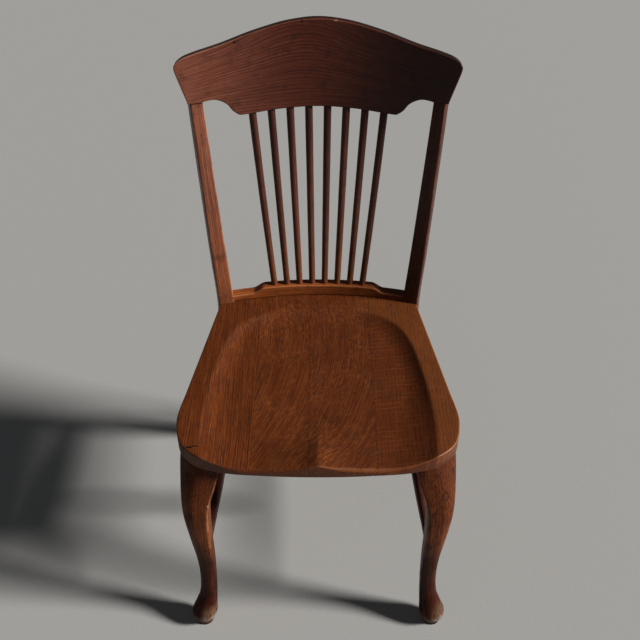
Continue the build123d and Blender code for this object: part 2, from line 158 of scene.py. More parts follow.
def smooth_at(table, height):
    """Row of a station table at any height, by a cubic curve through the neighbouring rows."""
    last = len(table) - 1
    k = max(i for i in range(last) if table[i][0] <= height or i == 0)
    before, low, high, after = (table[min(max(i, 0), last)] for i in (k - 1, k, k + 1, k + 2))
    span = high[0] - low[0]
    t = (height - low[0]) / span
    row = []
    for b, p, q, a in zip(before[1:], low[1:], high[1:], after[1:]):
        slope_low = (q - b) / (high[0] - before[0]) * span
        slope_high = (a - p) / (after[0] - low[0]) * span
        row.append(cubic(p, slope_low, q, slope_high, t))
    return row


def smoothstep(low, high, value):
    t = np.clip((np.asarray(value, float) - low) / (high - low), 0, 1)
    return t * t * (3 - 2 * t)


def curve(points, start=None, end=None, spacing=0.0022):
    """Points close together on a smooth curve through the given ones, without the last.
    start and end are its directions at its ends."""
    points = [np.array(p, float) for p in points]
    chords = [np.linalg.norm(b - a) for a, b in zip(points, points[1:])]
    slopes = [(b - a) / c for a, b, c in zip(points, points[1:], chords)]
    directions = [slopes[0]]
    for i in range(1, len(points) - 1):
        total = chords[i - 1] + chords[i]
        directions.append((slopes[i - 1] * chords[i] + slopes[i] * chords[i - 1]) / total)
    directions.append(slopes[-1])
    if start is not None:
        directions[0] = np.array(start, float) / np.linalg.norm(start)
    if end is not None:
        directions[-1] = np.array(end, float) / np.linalg.norm(end)
    line = []
    for i, chord in enumerate(chords):
        count = max(1, round(chord / spacing))
        leave, arrive = directions[i] * chord, directions[i + 1] * chord
        for t in np.arange(count) / count:
            line.append(cubic(points[i], leave, points[i + 1], arrive, t))
    return line


def both_halves(half):
    """Closed loop from its half at +x, which starts and ends on the middle line."""
    other = [np.array((-p[0], p[1])) for p in half[1:-1]]
    return np.array(half + other[::-1])


def distance_inside(points, loop):
    """Distance of each point to a closed loop, and 0 for a point outside it."""
    nearest = np.full(len(points), np.inf)
    inside = np.zeros(len(points), bool)
    for a, b in zip(loop, np.roll(loop, -1, axis=0)):
        along = b - a
        t = np.clip(((points - a) @ along) / (along @ along), 0, 1)
        nearest = np.minimum(nearest, np.linalg.norm(points - a - t[:, None] * along, axis=1))
        crosses = (a[1] > points[:, 1]) != (b[1] > points[:, 1])
        if a[1] != b[1]:
            inside ^= crosses & (points[:, 0] < along[0] * (points[:, 1] - a[1]) / along[1] + a[0])
    return np.where(inside, nearest, 0.0)


# ---- meshes -----------------------------------------------------------------------------------
class Shape:
    """Points of a mesh, each with its place in the wood (across, through and along the grain) and
    how worn it is, from 0 to 1."""

    def __init__(self):
        self.points = []
        self.grain = []
        self.wear = []
        self.faces = []

    def ring(self, points, grain, wear):
        first = len(self.points)
        self.points.extend(tuple(p) for p in points)
        self.grain.extend(tuple(g) for g in grain)
        self.wear.extend(float(w) for w in wear)
        return list(range(first, len(self.points)))

    def band(self, low, high):
        """Quads between two rings of the same count, or a fan when one is a single point."""
        count = max(len(low), len(high))
        for i in range(count):
            j = (i + 1) % count
            corners = [low[i % len(low)], low[j % len(low)]]
            corners += [high[j % len(high)], high[i % len(high)]]
            self.faces.append(tuple(dict.fromkeys(corners)))

    def mirrored(self):
        other = Shape()
        other.points = [(-x, y, z) for x, y, z in self.points]
        other.grain = list(self.grain)
        other.wear = list(self.wear)
        other.faces = [face[::-1] for face in self.faces]
        return other


def blend(value, *stops):
    """Colour at each value, eased between stops of (value, colour)."""
    result = np.tile(np.array(stops[0][1], float), (len(value), 1))
    for (low, _), (high, colour) in zip(stops, stops[1:]):
        share = smoothstep(low, high, value)[:, None]
        result = result * (1 - share) + np.array(colour) * share
    return result


def store(mesh, name, values):
    """Puts one number or one vector for each point of the mesh into a named attribute."""
    values = np.asarray(values, np.float32)
    kind, key = ("FLOAT", "value") if values.ndim == 1 else ("FLOAT_VECTOR", "vector")
    mesh.attributes.new(name, kind, "POINT").data.foreach_set(key, values.ravel())


def make_mesh(name, shape, grain_shift, tone_and_painted_light=None):
    """The last argument, given the points, returns what each point's colour is multiplied by: the
    part's own tone together with painted light and shade.
    """
    mesh = bpy.data.meshes.new(name)
    mesh.from_pydata(shape.points, [], shape.faces)
    points = np.array(shape.points)
    store(mesh, "grain", np.array(shape.grain, np.float32) + np.array(grain_shift, np.float32))
    store(mesh, "wear", shape.wear)
    store(mesh, "tone_and_painted_light", np.ones((len(points), 3)) if tone_and_painted_light is None else tone_and_painted_light(points))
    return mesh


def cut_away(mesh, point, normal):
    """Removes what lies beyond a plane and closes the opening."""
    bm = bmesh.new()
    bm.from_mesh(mesh)
    everything = bm.verts[:] + bm.edges[:] + bm.faces[:]
    result = bmesh.ops.bisect_plane(
        bm, geom=everything, dist=1e-7, plane_co=point, plane_no=normal, clear_outer=True
    )
    rim = [e for e in result["geom_cut"] if isinstance(e, bmesh.types.BMEdge)]
    bmesh.ops.holes_fill(bm, edges=rim, sides=0)
    bmesh.ops.recalc_face_normals(bm, faces=bm.faces[:])
    bm.to_mesh(mesh)
    bm.free()


def add_piece(name, mesh, nodes, material, sharp=38):
    mesh.shade_smooth()
    mesh.set_sharp_from_angle(angle=math.radians(sharp))
    piece = bpy.data.objects.new(name, mesh)
    bpy.context.scene.collection.objects.link(piece)
    mesh.materials.append(material)
    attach(piece, "root")
    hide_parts(*nodes)
    return piece


def loft(rings, grains, wears):
    """Closed skin over rings of equal count, from one end to the other."""
    shape = Shape()
    indices = [shape.ring(*row) for row in zip(rings, grains, wears)]
    for low, high in zip(indices, indices[1:]):
        shape.band(low, high)
    shape.faces.append(tuple(indices[0][::-1]))
    shape.faces.append(tuple(indices[-1]))
    return shape


WORN_RADIUS = 0.006  # corners rounder than this wear less


def rounded_section(width, depth, front_outer, other, arc=7, flat=4):
    """Counter-clockwise loop of a rectangle whose front outer corner (+x, -y) has its own radius,
    and the wear at each point, which is highest in the middle of a corner. arc is the number of
    points on a corner and flat the number of steps along a side."""
    corners = [(1, -1, front_outer), (1, 1, other), (-1, 1, other), (-1, -1, other)]
    loop = []
    wear = []
    for k, (sx, sy, radius) in enumerate(corners):
        centre = np.array((sx * (width / 2 - radius), sy * (depth / 2 - radius)))
        start = math.radians(-90 + 90 * k)
        for t in np.linspace(0, 1, arc):
            angle = start + t * math.pi / 2
            loop.append(centre + radius * np.array((math.cos(angle), math.sin(angle))))
            wear.append(math.sin(math.pi * t) * min(1.0, WORN_RADIUS / radius))
        next_sx, next_sy, next_radius = corners[(k + 1) % 4]
        next_centre = np.array(
            (next_sx * (width / 2 - next_radius), next_sy * (depth / 2 - next_radius))
        )
        turn = start + math.pi / 2
        target = next_centre + next_radius * np.array((math.cos(turn), math.sin(turn)))
        corner_end = loop[-1]
        for t in np.arange(1, flat) / flat:
            loop.append(corner_end * (1 - t) + target * t)
            wear.append(0.0)
    return np.array(loop), np.array(wear)


def unit(vectors):
    return vectors / np.linalg.norm(vectors, axis=1)[:, None]


def slab(outline, centre, place, thickness, carve, top_radius, bottom_radius, grain, rings,
         inset, soften):
    """Plate with rounded edges inside a loop, every point of which its centre can see.
    place(p, q, depth) gives the points, carve(points) how deep the top is hollowed out, and
    top_radius and bottom_radius the rounding of the edges at each point of the loop. The top's
    rings end inset from the loop, along directions averaged over soften points each way."""
    tangent = np.roll(outline, -1, axis=0) - np.roll(outline, 1, axis=0)
    outward = unit(np.stack((tangent[:, 1], -tangent[:, 0]), axis=1))
    outward = unit(sum(np.roll(outward, k, axis=0) for k in range(-soften, soften + 1)))
    inner = outline - outward * inset
    centre = np.array(centre)
    reach = np.linalg.norm(outline - centre, axis=1)
    shape = Shape()

    def row(flat, depth, wear):
        flat = np.atleast_2d(flat)
        depth = np.broadcast_to(depth, len(flat))
        points = place(flat[:, 0], flat[:, 1], depth)
        return shape.ring(points, grain(flat, depth), np.broadcast_to(wear, len(flat)))

    rows = [row(centre, carve(centre[None]), 0.0)]
    for share in (np.arange(1, rings + 1) / rings) ** 0.85:
        flat = centre + (inner - centre) * share
        edge_gap = (1 - share) * reach + inset * share
        rows.append(row(flat, carve(flat), 0.5 * np.exp(-((edge_gap / 0.012) ** 2))))
    for angle in np.radians((0, 18, 36, 54, 72, 90)):
        flat = outline - outward * (top_radius * (1 - math.sin(angle)))[:, None]
        drop = top_radius * (1 - math.cos(angle))
        rows.append(row(flat, carve(flat) + drop, 0.55 + 0.45 * math.sin(2 * angle)))
    top = carve(outline) + top_radius
    for share in (0.25, 0.5, 0.75):
        depth = top + (thickness - bottom_radius - top) * share
        rows.append(row(outline, depth, 0.25))
    for angle in np.radians((90, 67, 45, 22, 0)):
        flat = outline - outward * (bottom_radius * (1 - math.sin(angle)))[:, None]
        drop = thickness - bottom_radius * (1 - math.cos(angle))
        rows.append(row(flat, drop, 0.3 + 0.6 * math.sin(2 * angle)))
    for share in np.arange(10, 0, -1) / 10:
        rows.append(row(centre + (inner - centre) * share, thickness, 0.0))
    rows.append(row(centre, thickness, 0.0))
    for low, high in zip(rows, rows[1:]):
        shape.band(high, low)
    return shape


# ---- material graphs --------------------------------------------------------------------------
class Graph:
    """Node tree of one material, with short calls for the nodes used here. Any input may be a
    number or another node's output."""

    def __init__(self, name):
        self.material = bpy.data.materials.new(name)
        self.material.use_nodes = True
        self.tree = self.material.node_tree
        self.shader = self.tree.nodes["Principled BSDF"]

    def feed(self, socket, value):
        if isinstance(value, bpy.types.NodeSocket):
            self.tree.links.new(value, socket)
        else:
            socket.default_value = value

    def node(self, kind, *values, **settings):
        node = self.tree.nodes.new(kind)
        for key, value in settings.items():
            setattr(node, key, value)
        for socket, value in zip(node.inputs, values):
            if value is not None:
                self.feed(socket, value)
        return node

    def math(self, operation, a, b=0.0, c=0.0):
        return self.node("ShaderNodeMath", a, b, c, operation=operation).outputs[0]

    def add(self, a, b):
        return self.math("ADD", a, b)

    def times(self, a, b):
        return self.math("MULTIPLY", a, b)

    def attribute(self, name):
        return self.node("ShaderNodeAttribute", attribute_name=name)

    def step(self, value, low, high):
        """0 below low, 1 above high and smooth between."""
        node = self.node("ShaderNodeMapRange", value, low, high, 0.0, 1.0,
                         interpolation_type="SMOOTHSTEP")
        return node.outputs[0]

    def vector(self, x, y, z):
        return self.node("ShaderNodeCombineXYZ", x, y, z).outputs[0]

    def vector_math(self, operation, *values):
        return self.node("ShaderNodeVectorMath", *values, operation=operation)

    def stretched(self, place, scales):
        """Vector of three values, each times its own scale."""
        return self.vector(*(self.times(value, scale) for value, scale in zip(place, scales)))

    def noise(self, vector, scale=1.0, detail=2.0, roughness=0.5):
        node = self.node("ShaderNodeTexNoise")
        self.feed(node.inputs["Vector"], vector)
        node.inputs["Scale"].default_value = scale
        node.inputs["Detail"].default_value = detail
        node.inputs["Roughness"].default_value = roughness
        return node.outputs["Fac"]

    def mix(self, factor, a, b, blend="MIX"):
        node = self.node("ShaderNodeMix", data_type="RGBA", blend_type=blend)
        self.feed(node.inputs[0], factor)
        for socket, value in ((node.inputs[6], a), (node.inputs[7], b)):
            self.feed(socket, value if isinstance(value, bpy.types.NodeSocket) else (*value, 1.0))
        return node.outputs[2]

    def toned(self, colour, tone):
        """Colour times one number."""
        return self.mix(1.0, colour, self.vector(tone, tone, tone), "MULTIPLY")

    def bump(self, height, distance, strength=1.0):
        node = self.node("ShaderNodeBump")
        node.inputs["Strength"].default_value = strength
        node.inputs["Distance"].default_value = distance
        self.feed(node.inputs["Height"], height)
        self.feed(self.shader.inputs["Normal"], node.outputs[0])


def straight_figure(g, across, through, along):
    """Growth rings that run with the board, and rays almost with them."""
    rings = g.add(across, g.times(through, 0.35))
    ray_across = g.add(across, g.times(along, 0.05))
    return rings, ray_across, along


def bowed_figure(g, across, through, along):
    """Growth rings and rays that bulge to +x near the back and fall away to -x at the front."""
    back = g.add(along, -0.055)
    bow = g.times(g.times(back, back), 2.1)
    rings = g.add(across, g.add(g.times(bow, 0.45), g.times(through, 0.35)))
    return rings, g.add(across, bow), along


def arched_figure(g, across, through, along):
    """Nested arches of a flat-sawn board, steeper where across is high."""
    side = g.add(along, 0.02)
    steep = g.add(0.13, g.times(g.step(across, 0.0, 0.12), 0.33))
    reach = g.times(side, steep)
    rise = g.math("SQRT", g.add(g.times(reach, reach), 0.0005))
    rings = g.add(g.add(across, rise), g.times(through, 0.5))
    return rings, across, along


RAY_ARCH_X = 0.135  # where the arched rays reach furthest back
RAY_ARCH = 3.2


def arched_rays(g, across, through, along, wander, spacing):
    """Broken lines over the board, a spacing apart, where it is hollowed."""
    side = g.add(across, -RAY_ARCH_X)
    arch = g.add(along, g.times(g.times(side, side), RAY_ARCH))
    place = g.add(arch, g.times(g.add(wander, -0.5), 0.012))
    gap = g.math("ABSOLUTE", g.add(g.math("FRACT", g.math("DIVIDE", place, spacing)), -0.5))
    broken = g.noise(g.vector(g.times(across, 22), 0.0, g.times(place, 150)), detail=1.0)
    broken = g.step(broken, 0.36, 0.62)
    hollowed = g.step(through, 0.002, 0.006)
    return g.times(g.step(gap, 0.110, 0.020), g.times(broken, hollowed))


def shade(colour, share):
    return tuple(channel * share for channel in colour)


def oak(name, dark, mid, pale, worn, figure=straight_figure, ring=0.004, ring_depth=0.5,
        pore=0.6, ray=0.0, mottle=0.5, edge=0.5, roughness=0.42, coat=0.04, joints=False, dirt=0.5,
        streaks=1.0, bars=0.0, marks=(), specular=0.22):
    """Stained and worn oak. Colours are linear: dark in pores and early wood, mid for the body,
    pale for late wood and rays, worn where edges have lost their stain. ring is the width of a
    growth ring. ring_depth, pore, ray, mottle, edge, dirt and streaks are strengths. bars is the
    distance between single arched rays that cross a hollowed board. Each mark has its place in
    grain coordinates, its radii, colour and strength."""
    g = Graph(name)
    grain = g.attribute("grain").outputs["Vector"]
    wear = g.attribute("wear").outputs["Fac"]
    across, through, along = g.node("ShaderNodeSeparateXYZ", grain).outputs

    # slow wander of the grain lines
    wander = g.noise(g.stretched((across, through, along), (14, 14, 4)))
    ripple = g.noise(g.stretched((across, through, along), (60, 60, 18)))
    shift = g.add(g.times(g.add(wander, -0.5), 0.010), g.times(g.add(ripple, -0.5), 0.0016))
    wandered = g.add(across, shift)
    rings, ray_across, ray_along = figure(g, wandered, through, along)

    # growth rings: a sudden dark start and a slow fade, no two alike
    phase = g.math("FRACT", g.math("DIVIDE", rings, ring))
    early = g.add(g.step(phase, 0.0, 0.10), g.times(g.step(phase, 0.12, 0.75), -1.0))
    uneven = g.noise(g.stretched((rings, through, along), (90, 12, 5)), detail=1.0)
    uneven = g.step(uneven, 0.32, 0.68)
    early = g.times(early, g.add(0.35, g.times(uneven, 0.65)))

    # open pores, short dashes along the grain and thickest in the early wood
    pores = g.noise(g.stretched((rings, through, along), (1150, 1150, 62)), detail=1.0)
    pores = g.step(g.add(pores, g.times(early, 0.10)), 0.60, 0.70)

    # fine fibres, and longer streaks of paler and darker wood
    fibre = g.noise(g.stretched((wandered, through, along), (2600, 2600, 70)))
    streak = g.noise(g.stretched((rings, through, along), (420, 420, 9)), 1.0, 3.0, 0.6)

    # pale ray flecks, in patches
    flecks = g.noise(g.stretched((ray_across, through, ray_along), (980, 90, 80)), 1.0, 1.5, 0.55)
    fleck_patch = g.noise(g.stretched((across, through, along), (30, 30, 22)))
    flecks = g.times(g.step(flecks, 0.52, 0.66), g.step(fleck_patch, 0.30, 0.62))

    # large patches of stain, rubbed places and grime
    patch = g.noise(grain, 9.0, 3.0, 0.55)
    grime = g.noise(grain, 34.0, 4.0, 0.65)
    speck = g.noise(grain, 420.0, 1.0)

    colour = g.mix(g.times(early, ring_depth), mid, dark)
    colour = g.mix(g.times(g.step(streak, 0.46, 0.74), 0.55 * streaks), colour, pale)
    colour = g.mix(g.times(g.step(streak, 0.52, 0.28), 0.45 * streaks), colour, dark)
    colour = g.mix(g.times(flecks, ray), colour, pale)
    colour = g.mix(g.times(pores, pore), colour, shade(dark, 0.35))
    if bars:
        line = arched_rays(g, across, through, along, wander, bars)
        colour = g.mix(g.times(line, 0.48), colour, pale)
    colour = g.toned(colour, g.add(0.47, g.times(fibre, 1.06)))
    colour = g.toned(colour, g.add(1.0 - mottle * 0.5, g.times(patch, mottle)))
    soiled = g.times(g.step(grime, 0.50, 0.72), dirt)
    colour = g.mix(soiled, colour, shade(dark, 0.55))

    # edges rubbed through the stain, broken up by noise
    rubbed = g.add(wear, g.times(g.add(g.noise(grain, 75.0, 4.0, 0.6), -0.5), 0.9))
    rubbed = g.times(g.step(rubbed, 0.62, 0.98), edge)
    colour = g.mix(rubbed, colour, worn)
    colour = g.mix(g.times(g.step(speck, 0.72, 0.80), 0.35), colour, shade(dark, 0.4))
    # each point's own tone together with its painted light and shade, stored on the mesh
    colour = g.mix(1.0, colour, g.attribute("tone_and_painted_light").outputs["Vector"], "MULTIPLY")

    # knots, cracks and chips
    for place, radii, tone, strength in marks:
        offset = g.vector_math("SUBTRACT", grain, place).outputs[0]
        scaled = g.vector_math("MULTIPLY", offset, tuple(1 / radius for radius in radii)).outputs[0]
        away = g.vector_math("LENGTH", scaled).outputs["Value"]
        away = g.add(away, g.times(g.add(grime, -0.5), 0.8))
        colour = g.mix(g.times(g.step(away, 1.15, 0.70), strength), colour, tone)

    # dark glue lines between the boards
    if joints:
        for joint in BOARD_JOINTS:
            gap = g.math("ABSOLUTE", g.add(g.attribute("board").outputs["Fac"], -joint))
            line = g.times(g.step(gap, 0.0006, 0.0001), 0.6)
            colour = g.mix(line, colour, shade(dark, 0.3))
    g.feed(g.shader.inputs["Base Color"], colour)

    # satin where polished by use, dull in grime, pores and rubbed edges
    shine = g.add(roughness, g.times(g.add(grime, -0.5), 0.30))
    shine = g.add(shine, g.times(pores, 0.22))
    shine = g.add(shine, g.times(rubbed, 0.12))
    g.feed(g.shader.inputs["Roughness"], g.add(shine, g.times(g.add(patch, -0.5), 0.14)))
    g.shader.inputs["Coat Weight"].default_value = coat
    g.shader.inputs["Coat Roughness"].default_value = 0.30
    g.shader.inputs["Specular IOR Level"].default_value = specular

    height = g.add(g.times(pores, -1.0), g.times(fibre, 0.25))
    height = g.add(height, g.times(early, -0.30))
    height = g.add(height, g.times(flecks, 0.18))
    height = g.add(height, g.times(grime, 0.35))
    g.bump(height, 0.00007, 0.6)
    return g.material


def steel(name):
    """Old bright screw steel, dulled and spotted."""
    g = Graph(name)
    place = g.node("ShaderNodeTexCoord").outputs["Object"]
    spots = g.step(g.noise(place, 900.0, 3.0), 0.5, 0.7)
    turning = g.noise(place, 2600.0, 1.0)
    g.feed(g.shader.inputs["Base Color"], g.mix(spots, (0.42, 0.40, 0.37), (0.12, 0.07, 0.045)))
    g.shader.inputs["Metallic"].default_value = 1.0
    g.feed(g.shader.inputs["Roughness"], g.add(0.32, g.times(spots, 0.35)))
    g.bump(g.add(spots, g.times(turning, 0.4)), 0.00008, 0.5)
    return g.material


# ---- seat -------------------------------------------------------------------------------------
def turned_by(yaw, x, y):
    turn = math.radians(yaw)
    return x * math.cos(turn) + y * math.sin(turn), y * math.cos(turn) - x * math.sin(turn)


def post_corner(side_x, side_y):
    """Plan corner of the left post where it stands on the seat."""
    half_width, depth_y, width, thickness, yaw = smooth_at(POST_STATIONS, SEAT_HEIGHT_MID)
    x, y = turned_by(yaw, side_x * width / 2, side_y * thickness / 2)
    return half_width + x, depth_y + y


def seat_outline():
    widest = (SEAT_HALF_WIDTH, SEAT_WIDEST_Y)
    shoulder = (SEAT_HALF_WIDTH - 0.007, SEAT_WIDEST_Y + 0.072)
    notch_outer = (0.1805, 0.1350)
    notch_front = post_corner(-1, -1)
    notch_back = post_corner(-1, 1)
    heel = (0.150, 0.168)
    half = curve(
        [(0, SEAT_FRONT_Y), (0.080, SEAT_FRONT_Y + 0.0025), (0.150, SEAT_FRONT_Y + 0.0095),
         (SEAT_HALF_WIDTH - 0.038, SEAT_FRONT_Y + 0.020),
         (SEAT_HALF_WIDTH - 0.013, SEAT_FRONT_Y + 0.042), widest, shoulder],
        start=(1, 0), end=(-0.155, 1),
    )
    half += curve([shoulder, notch_outer])
    half += curve([notch_outer, notch_front])
    half += curve([notch_front, notch_back])
    half += curve([notch_back, heel])
    half += curve(
        [heel, (0.080, SEAT_REAR_Y - 0.003), (0, SEAT_REAR_Y)], start=(-1, 0.15), end=(-1, 0),
    )
    return both_halves(half + [np.array((0, SEAT_REAR_Y))])


def dish_rim():
    """Plan of the rim round the carved hollow. It runs out over the front edge."""
    half = curve(
        [(0, 0.1225), (0.050, 0.1215), (0.092, 0.113), (0.126, 0.094), (0.149, 0.066),
         (0.163, 0.030), (0.173, -0.020), (0.183, -0.097), (0.187, -0.167), (0.182, -0.250),
         (0.172, DISH_FRONT_Y)],
        start=(1, 0), spacing=0.008,
    )
    return both_halves(half + [np.array((0, DISH_FRONT_Y))])


DISH_RIM = dish_rim()


def seat_carve(flat):
    """Depth of the saddle below the seat's top plane."""
    x, y = flat[:, 0], flat[:, 1]
    ahead = smoothstep(-0.05, -0.25, y)
    behind = smoothstep(0.02, 0.12, y)
    deep = DISH_DEPTH + DISH_DEEPER_AHEAD * ahead - DISH_SHALLOWER_BEHIND * behind
    wall = DISH_WALL + DISH_WALL_WIDER_AHEAD * ahead
    gap = distance_inside(flat, DISH_RIM)
    gap = gap * gap / (gap + DISH_RIM_EASE)
    bowl = deep * (1 - (1 - np.clip(gap / wall, 0, 1)) ** 2)
    beside = np.sqrt(x * x + POMMEL_CREST_RADIUS**2) - POMMEL_CREST_RADIUS
    swell = smoothstep(POMMEL_HALF_WIDTH, 0.0, beside) * smoothstep(-0.100, -0.245, y)
    ridge = np.clip(1 - beside / POMMEL_CREST_HALF_WIDTH, 0, 1) ** 2 * smoothstep(-0.125, -0.225, y)
    return bowl * (1 - 0.58 * swell - 0.38 * ridge)


def seat_point(x, y, depth):
    return np.stack((
        x,
        y * math.cos(SEAT_TILT) - depth * math.sin(SEAT_TILT),
        SEAT_HEIGHT_MID - y * math.sin(SEAT_TILT) - depth * math.cos(SEAT_TILT),
    ), axis=1)


def seat_grain(flat, depth):
    return np.stack((flat[:, 0], depth, flat[:, 1]), axis=1)


def seat_boards():
    """Side, shift of the grain and material of each board, from the sitter's right."""
    shared = dict(
        dark=(0.034, 0.0076, 0.0020), worn=(0.21, 0.066, 0.018), joints=True, roughness=0.40,
        edge=0.4, dirt=0.25,
    )
    soot = (0.004, 0.002, 0.001)
    crack = [
        ((-0.1985, 0.0, -0.2140), (0.0060, 0.006, 0.0019), soot, 1.0),
        ((-0.1900, 0.0, -0.2115), (0.0070, 0.006, 0.0014), soot, 0.9),
    ]
    straight = oak(
        "seat_oak_straight", mid=(0.098, 0.0221, 0.0043), pale=(0.182, 0.053, 0.0125),
        ring=0.0042, ring_depth=0.75, pore=0.75, ray=0.15, marks=crack, **shared,
    )
    bowed = oak(
        "seat_oak_bowed", mid=(0.0865, 0.0194, 0.0041), pale=(0.176, 0.051, 0.0125),
        figure=bowed_figure, ring=0.0040, ring_depth=0.40, pore=0.7, ray=0.95, **shared,
    )
    rayed = oak(
        "seat_oak_ray", mid=(0.0765, 0.0174, 0.0041), pale=(0.168, 0.050, 0.0132),
        figure=bowed_figure, ring=0.0044, ring_depth=0.35, pore=0.7, ray=0.95, **shared,
    )
    crossed = oak(
        "seat_oak_crossed", mid=(0.0800, 0.0184, 0.0042), pale=(0.172, 0.051, 0.0135),
        ring=0.0060, ring_depth=0.30, pore=0.60, ray=0.20, streaks=0.28, bars=0.010, **shared,
    )
    return [
        ("right_outer", 0.0, straight), ("right_inner", 0.31, bowed),
        ("left_inner", 0.0, rayed), ("left_outer", 0.0, crossed),
    ]


def build_seat():
    outline = seat_outline()
    x, y = outline[:, 0], outline[:, 1]
    aside = np.abs(x)
    dipped = smoothstep(-0.215, -0.235, y)  # the front edge, rounder where the hollow runs out
    dipped = dipped * smoothstep(0.165, 0.110, aside) * smoothstep(0.01, 0.05, aside)
    at_post = (y > POST_NOTCH_Y) & (aside > POST_NOTCH_X)
    top_radius = np.where(at_post, CRISP, 0.0024 + 0.0042 * dipped)
    bottom_radius = np.where(at_post, CRISP, 0.0030)
    shape = slab(
        outline, SEAT_CENTRE, seat_point, SEAT_THICKNESS, seat_carve, top_radius, bottom_radius,
        seat_grain, rings=78, inset=0.008, soften=5,
    )
    points = np.array(shape.points)
    front_right = smoothstep(0.02, -0.06, points[:, 0]) * smoothstep(-0.12, -0.18, points[:, 1])
    shape.wear = list(np.array(shape.wear) * (1 - 0.7 * front_right))

    def tone_and_painted_light(points):
        """The flat rim on the left and at the back is lighter than the hollow."""
        gap = distance_inside(points[:, :2], DISH_RIM)
        on_top = points[:, 2] > SEAT_HEIGHT_MID - 0.012
        rim = smoothstep(0.006, 0.0, gap) * smoothstep(0.04, 0.12, points[:, 0]) * on_top
        return 1 + rim[:, None] * np.array((0.35, 0.65, 0.80))

    edges = (None,) + BOARD_JOINTS + (None,)
    for (side, shift, material), low, high in zip(seat_boards(), edges, edges[1:]):
        name = f"seat_board_{side}"
        mesh = make_mesh(f"{name}_wood", shape, (0, shift, 0), tone_and_painted_light)
        store(mesh, "board", points[:, 0])
        if low is not None:
            cut_away(mesh, (low, 0, 0), (-1, 0, 0))
        if high is not None:
            cut_away(mesh, (high, 0, 0), (1, 0, 0))
        add_piece(f"{name}_wood", mesh, [name], material)


# ---- crest rail -------------------------------------------------------------------------------
def crest_point(x, up, depth):
    bulge = np.sqrt((CREST_RADIUS + depth) ** 2 - x * x) - CREST_RADIUS
    lean = CREST_RECLINE
    return np.stack((
        x,
        CREST_FRONT_Y + bulge * math.cos(lean) + up * math.sin(lean),
        CREST_FOOT_Z - bulge * math.sin(lean) + up * math.cos(lean),
    ), axis=1)


def crest_outline():
    tip = (CREST_TIP_X, -0.001)
    post_inner = (0.185, 0.027)
    post_outer = (0.211, 0.0265)
    edge = (0.225, 0.072)
    corner = (0.2275, 0.089)
    shoulder = (0.210, CREST_PEAK - 0.050)
    half = curve([(0, CREST_ARCH), (0.060, 0.006), tip], start=(1, 0), end=(1, -0.05))
    half += curve([tip, (0.1395, 0.006), (0.150, 0.019), (0.168, 0.028), post_inner],
                  start=(1, 0.15), end=(1, -0.1), spacing=0.0015)
    half += curve([post_inner, post_outer])
    half += curve([post_outer, edge])
    half += curve([edge, corner, shoulder], start=(0.28, 1), end=(-1, 0.32), spacing=0.0012)
    half += curve(
        [shoulder, (0.160, CREST_PEAK - 0.037), (0.100, CREST_PEAK - 0.018),
         (0.045, CREST_PEAK - 0.0045), (0, CREST_PEAK)],
        start=(-1, 0.32), end=(-1, 0),
    )
    return both_halves(half + [np.array((0, CREST_PEAK))])


def build_crest():
    outline = crest_outline()
    x, up = outline[:, 0], outline[:, 1]
    at_post = (up < 0.0275) & (np.abs(x) > 0.184) & (np.abs(x) < 0.212)
    radius = np.where(at_post, CRISP, 0.0026)

    def carve(flat):
        return np.zeros(len(flat))

    def grain(flat, depth):
        return np.stack((flat[:, 1], depth, flat[:, 0]), axis=1)

    shape = slab(
        outline, CREST_CENTRE, crest_point, CREST_THICKNESS, carve, radius, radius, grain,
        rings=44, inset=0.004, soften=2,
    )
    marks = [
        ((0.1180, 0.0, -0.1332), (0.0024, 0.006, 0.0024), (0.002, 0.001, 0.001), 1.0),
        ((0.1470, 0.0, -0.0255), (0.0024, 0.006, 0.0028), (0.006, 0.003, 0.002), 0.8),
        ((0.1480, 0.0, 0.0283), (0.0014, 0.006, 0.0032), (0.24, 0.15, 0.10), 0.7),
    ]
    material = oak(
        "crest_oak", dark=(0.020, 0.0048, 0.0030), mid=(0.070, 0.0190, 0.0110),
        pale=(0.125, 0.042, 0.025), worn=(0.16, 0.070, 0.046), figure=arched_figure, ring=0.0060,
        ring_depth=0.62, pore=0.45, ray=0.10, mottle=0.45, edge=0.40, roughness=0.36, coat=0.06,
        marks=marks,
    )

    def tone_and_painted_light(points):
        """Painted light and shade: a painted sheen lightens it to the right, and painted shade dims
        it to the left and on the thin edge all round.
        """
        face = blend(
            points[:, 0], (-0.22, (2.1, 2.35, 2.3)), (-0.02, (1.0, 0.80, 0.70)),
            (0.20, (0.45, 0.36, 0.33)),
        )
        # painted shade on the thin edge between the front and back faces
        through = np.array(shape.grain)[:, 1]
        painted_edge_shade = smoothstep(0.0006, 0.0024, through) * smoothstep(0.0190, 0.0165, through)
        return face * (1 - 0.62 * painted_edge_shade[:, None])

    mesh = make_mesh("crest_rail_wood", shape, (0, 0, 0), tone_and_painted_light)
    add_piece("crest_rail_wood", mesh, ["crest_rail"], material)


# ---- posts ------------------------------------------------------------------------------------
def post_section(height, bevel):
    """Loop of the left post at a height, its place in the wood and its wear."""
    half_width, depth_y, width, thickness, yaw = smooth_at(POST_STATIONS, height)
    flat, wear = rounded_section(
        width - 2 * bevel, thickness - 2 * bevel, POST_CORNER_RADIUS, POST_CORNER_RADIUS, arc=5,
    )
    x, y = turned_by(yaw, flat[:, 0], flat[:, 1])
    level = np.full(len(flat), height)
    points = np.column_stack((half_width + x, depth_y + y, level))
    return points, np.column_stack((flat, level)), wear


